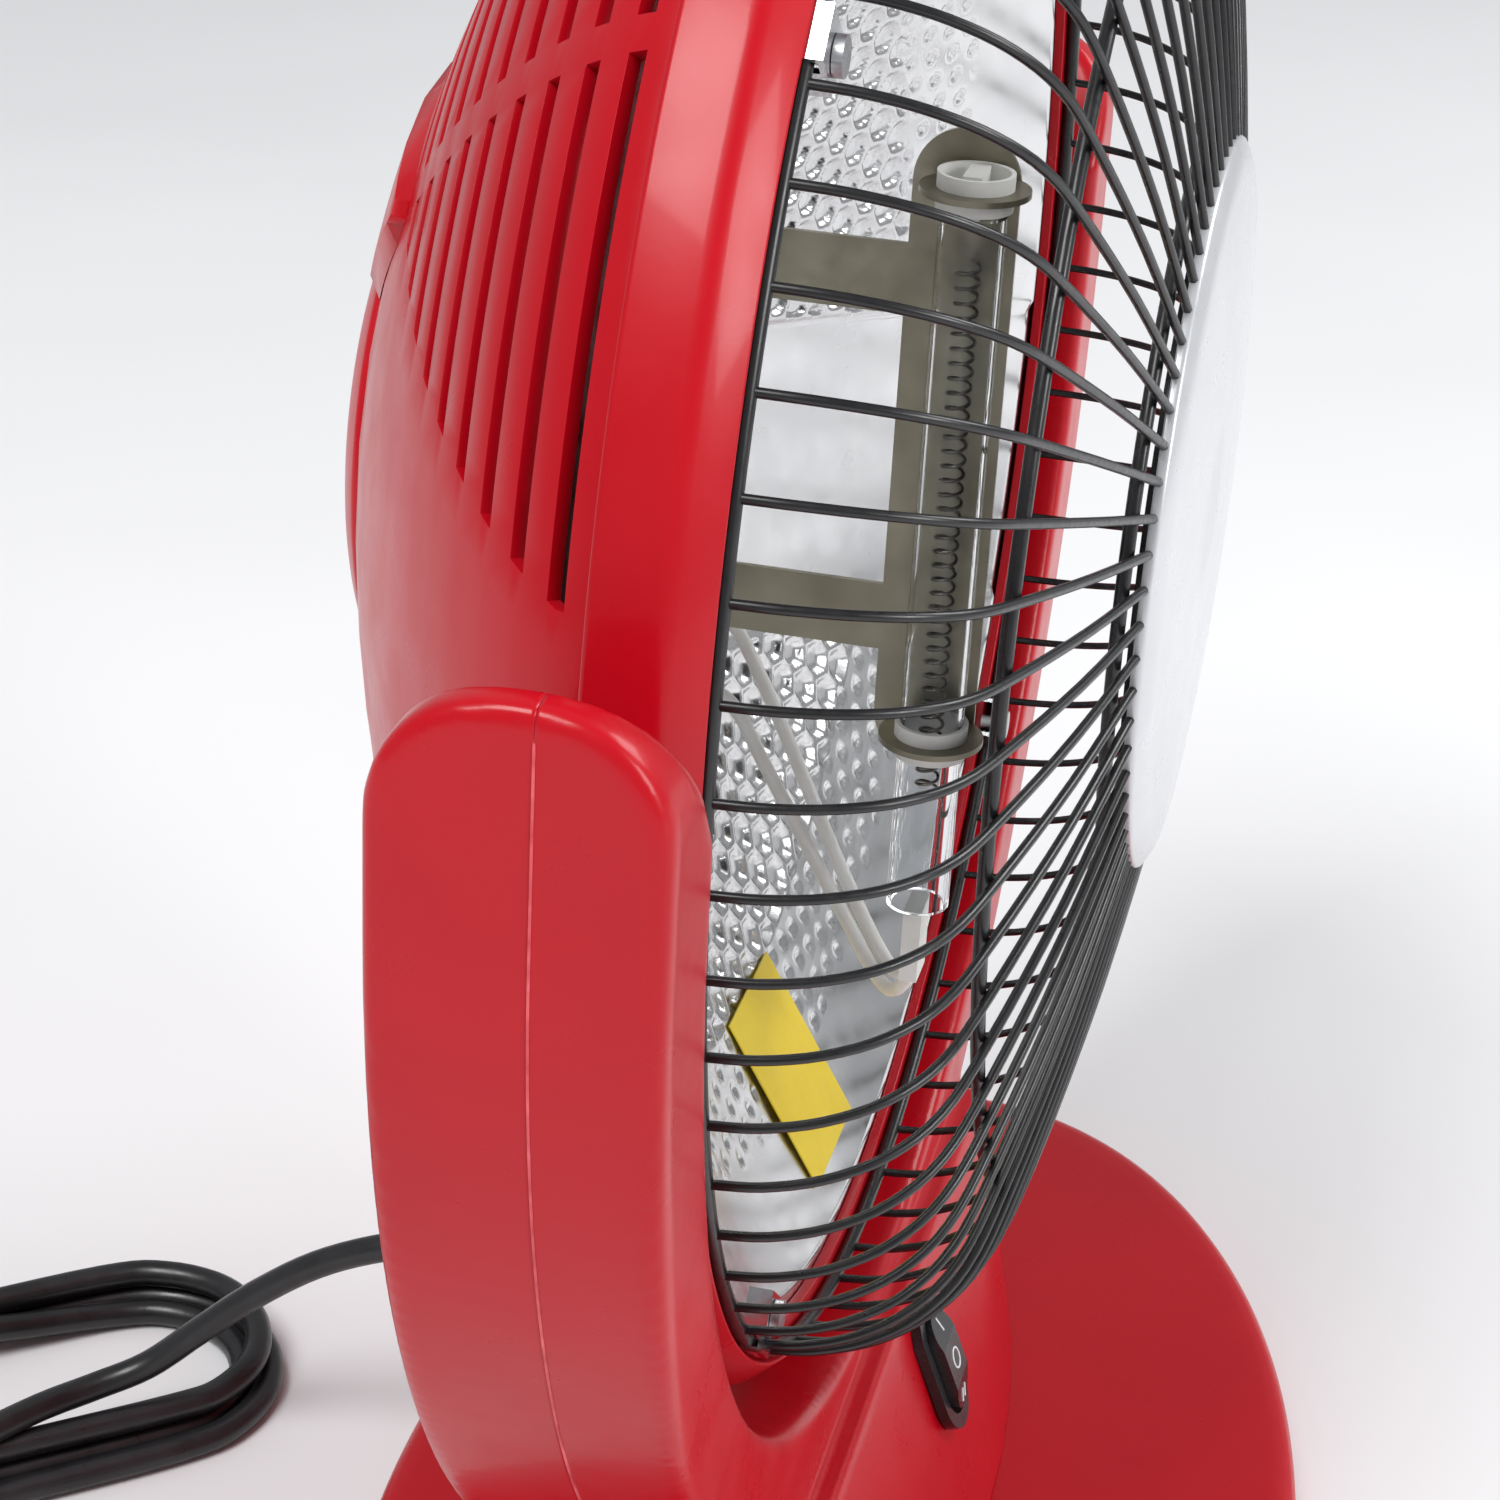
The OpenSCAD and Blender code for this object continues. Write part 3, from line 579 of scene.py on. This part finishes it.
def make_rear_cover():
    """The dome as a grid whose lines follow the slots' edges, with the slots left open."""
    rows = [(BAND_D, False), (BAND_D + 0.9, False)]
    for i in range(10):
        y = slot_y(i)
        slope = dome_r(y - 0.5) - dome_r(y + 0.5)
        w = 3 / math.sqrt(1 + slope * slope)
        rows += [(y - w / 2, True), (y, True), (y + w / 2, False)]
    rows += [(y, False) for y in (69, 71.5, 74, 76, 77.8, 79.3)]
    rib, ribs, parts = 2.6, (40.5, 73.5, 106.5, 139.5), 14
    edges = (None, *ribs, None)

    def columns(y):
        """Angles over the upper half at depth y, and whether the cell after each may be open."""
        r = dome_r(y)
        belt = math.degrees(math.asin(min(belt_at(y) / r, 0.99)))
        half_rib = math.degrees(rib / r)
        cols = []
        for lo, hi in zip(edges, edges[1:]):
            a = belt if lo is None else lo + half_rib
            b = 180 - belt if hi is None else hi - half_rib
            cols += [(a + (b - a) * k / parts, k < parts) for k in range(parts + 1)]
        return cols + [(180 - belt + 2 * belt * k / 12, False) for k in range(1, 12)]

    def ring(y):
        half = columns(y)
        return half + [(a + 180, is_open) for a, is_open in half]

    verts, faces = [], []
    opens = [is_open for _, is_open in ring(BAND_D)]
    n = len(opens)
    for y, _ in rows:
        verts += [on_head(dome_r(y), y, a) for a, _ in ring(y)]
    for i in range(len(rows) - 1):
        for k in range(n):
            if rows[i][1] and opens[k]:
                continue
            m = (k + 1) % n
            faces.append((i * n + k, i * n + m, (i + 1) * n + m, (i + 1) * n + k))
    obj = put("rear_cover_dome", fix_normals(mesh_from(verts, faces)), "head",
              "red_gloss", "red_gloss", "rear_cover")
    skin = obj.modifiers.new("skin", "SOLIDIFY")
    skin.thickness, skin.offset = 2.3 * MM, -1
    edge = obj.modifiers.new("edge", "BEVEL")
    edge.width, edge.segments, edge.limit_method, edge.angle_limit = 0.45 * MM, 2, "ANGLE", math.radians(50)
    edge.harden_normals = False
    lip = rounded([(149.3, 8), (149.3, BAND_D + 0.05), (147.6, BAND_D + 0.2), (145.8, BAND_D), (145.8, 14),
                   (147, 12), (147, 8)], 0.2)
    put("rear_cover_lip", lathe(lip), "head", "red_gloss", "red_gloss")


def make_drum():
    band = rounded([(141.5, 1.35), (146.4, 1.35), (147.4, -0.4, 0.5), (152, 5, 1.6), (152, 15.5, 0.9),
                    (149.4, 15.5), (149.4, 5.8), (146.6, 3.2), (141.5, 3.2)], 0.3)
    put("drum_band", lathe(band, 288), "head", "red_gloss", "red_gloss", "front_band")
    disc = rounded([(0.4, 86.6), (30, 86.4, 3), (42.5, 85.4, 3), (51, 80.9, 1.2), (51, 78.65, 0.4),
                    (43.9, 78.65), (43.9, 74.4), (42.4, 74.4), (42.4, 83), (40, 84), (0.4, 85)], 0.2)
    put("rear_boss", lathe(disc), "head", "red_gloss", "red_gloss", "rear_disc")
    make_rear_cover()


make_drum()


# ---------------------------------------------------------------- reflector
def dish_y(r):
    return 2 + 50 * (1 - (r / 141) ** 2)


def hex_relief(x, z, pitch=7.1):
    """0 on the lines between hexagonal cells, rising to 1 inside each cell."""
    best = [9e9, 9e9]
    row_h = pitch * math.sqrt(3) / 2
    j0 = math.floor(z / row_h)
    for j in (j0 - 1, j0, j0 + 1, j0 + 2):
        shift = 0.5 * pitch * (j % 2)
        i = round((x - shift) / pitch)
        for k in (i - 1, i, i + 1):
            d = math.hypot(x - k * pitch - shift, z - j * row_h)
            if d < best[0]:
                best = [d, best[0]]
            elif d < best[1]:
                best[1] = d
    edge = (best[1] - best[0]) / 2
    t = min(max((edge - 0.35) / 1.3, 0), 1)
    return t * t * (3 - 2 * t)


def dimple(x, z, pitch=5.5, r=1.3):
    row_h = pitch * math.sqrt(3) / 2
    j = round(z / row_h)
    shift = 0.5 * pitch * (j % 2)
    i = round((x - shift) / pitch)
    d = math.hypot(x - i * pitch - shift, z - j * row_h)
    return max(0.0, 1 - (d / r) ** 2) if d < r else 0.0


BAND_TURN = math.radians(11)


def dish_relief(x, z):
    """Depth change of the pressed pattern, negative towards the front."""
    r = math.hypot(x, z)
    zb = z * math.cos(BAND_TURN) + x * math.sin(BAND_TURN)
    if -47 < zb < 13:
        side = min(zb + 47, 13 - zb)
        return 0.9 * min(side / 1.6, 1.0)
    if r < 104:
        return 1.3 * hex_relief(z, x)
    if r < 121:
        return 0.75 * dimple(x, z)
    return 0.0


def make_dish():
    rings, parts = ((210, 900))
    radii = [139.5 * (1 - i / rings) for i in range(rings)]
    verts = [on_head(145.5, 4.5, 360 * k / parts) for k in range(parts)]
    verts += [on_head(145.5, 3.7, 360 * k / parts) for k in range(parts)]
    for r in radii:
        for k in range(parts):
            a = 2 * math.pi * k / parts
            x, z = r * math.cos(a), r * math.sin(a)
            fade = min(r / 6, 1)
            verts.append((x, dish_y(r) + dish_relief(x, z) * fade, AXIS_Z + z))
    faces = []
    for i in range(len(radii) + 1):
        for k in range(parts):
            m = (k + 1) % parts
            faces.append((i * parts + k, i * parts + m, (i + 1) * parts + m, (i + 1) * parts + k))
    last = (len(radii) + 1) * parts
    verts.append((0, dish_y(0), AXIS_Z))
    faces += [(last + k, last + (k + 1) % parts, len(verts) - 1) for k in range(parts)]
    mesh = mesh_from(verts, faces)
    put("dish_face", mesh, "head", "mirror_dish", "mirror_dish", "reflector_dish")


make_dish()


# ---------------------------------------------------------------- guard
GUARD_R, CORNER_R, CORNER_Y, DISC_R, DISC_Y, WIRES, PHASE = 145.0, 113.5, 33.0, 59.5, 45.4, 70, 13.25


def make_guard():
    path = [(GUARD_R, 1), (GUARD_R - 1, 8), (GUARD_R - 4, 16), (GUARD_R - 9.5, 23.5), (GUARD_R - 18, 29.3),
            (CORNER_R, CORNER_Y + 0.3), ((CORNER_R + DISC_R) / 2, 39.2), (DISC_R - 3, DISC_Y - 1.2)]
    lines = []
    for k in range(WIRES):
        a = 180 - (PHASE + 360 * k / WIRES)
        lines.append(catmull([on_head(r, -d, a) for r, d in path], 4))
    put("guard_ribs", tube_curve("guard_ribs", lines, 0.75, resolution=2), "head",
        "black_wire", "black_wire", "guard_wires")
    for name, r, y, d, node in (("ring_outer", GUARD_R, 0.0, 2.6, "guard_outer_ring"),
                                ("ring_corner", CORNER_R - 0.6, -CORNER_Y + 1.4, 2.2, "guard_corner_ring"),
                                ("ring_inner", DISC_R + 3.5, -DISC_Y + 4.4, 2.2, "guard_inner_ring")):
        loop = [on_head(r, y, 360 * k / 180) for k in range(180)]
        put(name, tube_curve(name, [loop], d / 2, closed=True, resolution=4), "head",
            "black_wire", "black_wire", node)
    y = -DISC_Y
    face = rounded([(0.4, y - 3.4), (40, y - 2.8, 6), (56, y - 1.2, 3), (59.5, y + 0.6, 0.6),
                    (59.5, y + 2.2, 0.3), (58.1, y + 2.2), (58.1, y + 1.4), (55, y + 0.2), (40, y - 1.4), (0.4, y - 2)], 0.2)
    put("centre_disc", lathe(face), "head", "silver_disc", "silver_disc", "guard_disc")


make_guard()


# ---------------------------------------------------------------- tube, coil and leads
TUBE_Y = -5.0


def make_tube_parts():
    coil = []
    turns, r = 38, 1.9
    for k in range(turns * 14 + 1):
        a = 2 * math.pi * k / 14
        z = AXIS_Z - 60 + 96 * k / (turns * 14)
        coil.append((r * math.cos(a), TUBE_Y + r * math.sin(a), z))
    put("heating_coil", tube_curve("heating_coil", [coil], 0.3, resolution=1), "head",
        "filament", "filament", "filament")
    leads = []
    for i, hole in enumerate(((36, AXIS_Z - 46), (30, AXIS_Z - 60))):
        depth = dish_y(math.hypot(hole[0], hole[1] - AXIS_Z))
        leads.append(catmull([
            (hole[0], depth + 6, hole[1]), (hole[0], depth - 3, hole[1] - 1),
            (hole[0] - 4, depth - 12, hole[1] - 12), (18 - 4 * i, 12, AXIS_Z - 86 - 4 * i),
            (6 - 4 * i, 0, AXIS_Z - 97 - 2 * i), (2 - 4 * i, TUBE_Y, AXIS_Z - 94.2)], 8))
    put("sleeved_leads", tube_curve("sleeved_leads", leads, 1.3, resolution=4), "head",
        "white_silicone", "white_silicone", "tube_leads")


make_tube_parts()


# ---------------------------------------------------------------- switch marks
def make_switch_marks():
    """I, O and II on the rocker's face, as raised strokes."""
    tilt = math.radians(68)
    at = Vector((0, -28.5 + (50 - 14.5) * 19 / (65 - 14.5), 50))

    def on_face(x, up, out):
        turn = Matrix.Rotation(tilt, 3, "X")
        return tuple(at + turn @ Vector((x, up, out)))

    def height(up):
        return 4.62 if abs(up) < 4.2 else 4.62 - (abs(up) - 4.2) * 1.6 / 5.9

    def stroke(points):
        return [on_face(x, y, height(y)) for x, y in points]

    one = stroke([(0, 9.0), (0, 6.2)])
    two = [stroke([(x, -6.2), (x, -9.0)]) for x in (-0.9, 0.9)]
    put("switch_marks", tube_curve("switch_marks", [one] + two, 0.22, resolution=1), "rocker",
        "white_mark", "black_gloss")
    turns = [2 * math.pi * k / 24 for k in range(24)]
    ring = stroke([(1.9 * math.cos(a), 1.9 * math.sin(a)) for a in turns])
    put("switch_mark_off", tube_curve("switch_mark_off", [ring], 0.22, closed=True, resolution=1), "rocker",
        "white_mark", "black_gloss")


make_switch_marks()


# ---------------------------------------------------------------- carried-over CAD nodes
def finish_nodes():
    for name, obj in frame["nodes"].items():
        if obj.hide_render:
            continue
        obj.data.materials.clear()
        obj.data.materials.append(MAT[SLOT_OF_NODE[name]])
        edge = obj.modifiers.new("edge", "BEVEL")
        edge.width, edge.segments = 0.25 * MM, 2
        edge.limit_method, edge.angle_limit = "ANGLE", math.radians(35)
        edge.use_clamp_overlap = True


finish_nodes()


# ---------------------------------------------------------------- floor, lights, world
def make_stage():
    bm = bmesh.new()
    bmesh.ops.create_grid(bm, x_segments=1, y_segments=1, size=6)
    mesh = bpy.data.meshes.new("floor")
    bm.to_mesh(mesh)
    bm.free()
    floor = bpy.data.objects.new("floor", mesh)
    bpy.context.scene.collection.objects.link(floor)
    mat = new_material("floor_pale", (0.86, 0.86, 0.87), 0.6)
    vary(mat, (0.85, 0.85, 0.86), (0.88, 0.88, 0.89), 3)
    floor.data.materials.append(mat)
    world = bpy.data.worlds.new("world")
    bpy.context.scene.world = world
    world.use_nodes = True
    back = world.node_tree.nodes["Background"]
    back.inputs["Color"].default_value = (0.95, 0.97, 1.0, 1)
    back.inputs["Strength"].default_value = 0.4
    for name, at, to, size, power in (
            ("key", (-1.1, 0.5, 1.9), (0, 0, 0.2), 0.9, 34),
            ("front", (-0.5, -2.0, 1.1), (0, 0, 0.2), 0.8, 22),
            ("side", (1.2, -1.4, 1.6), (0, 0, 0.1), 0.9, 19)):
        data = bpy.data.lights.new(name, "AREA")
        data.size, data.energy = size, power
        light = bpy.data.objects.new(name, data)
        light.location = at
        light.rotation_euler = (Vector(to) - Vector(at)).to_track_quat("-Z", "Y").to_euler()
        bpy.context.scene.collection.objects.link(light)
    bpy.context.scene.view_settings.view_transform = "Standard"


make_stage()
